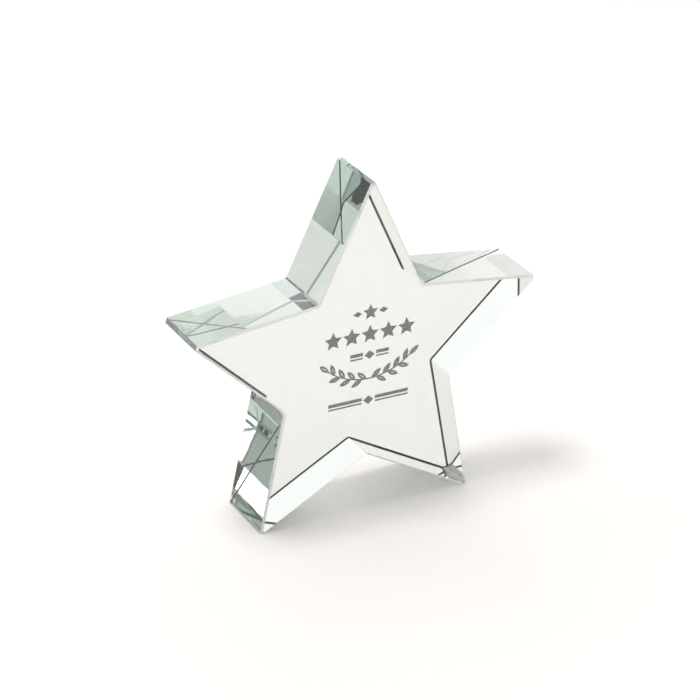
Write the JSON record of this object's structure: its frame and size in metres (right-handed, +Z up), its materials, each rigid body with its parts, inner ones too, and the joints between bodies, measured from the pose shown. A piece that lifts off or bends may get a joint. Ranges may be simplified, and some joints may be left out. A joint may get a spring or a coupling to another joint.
{
  "type": "star trophy",
  "caption": "Upright five-pointed star award cut from a thick slab of clear glass, with a grey enamel-filled laurel and star decoration engraved on its front face.",
  "frame": {"origin": "on the surface that the feet rest on, under the middle of the star", "axes": "+Z up, +X to the viewer's right along the star's width, the engraved front face towards -Y"},
  "size_m": [0.105, 0.02, 0.0997],
  "materials": {
    "clear_glass": "polished, clear with a faint green tint",
    "grey_enamel": "matte"
  },
  "bodies": {
    "root": {"star_body": "clear_glass", "crest_inlay": "grey_enamel", "star_row_inlay": "grey_enamel", "short_rule_inlay": "grey_enamel", "laurel_inlay": "grey_enamel", "long_rule_inlay": "grey_enamel"}
  },
  "joints": []
}
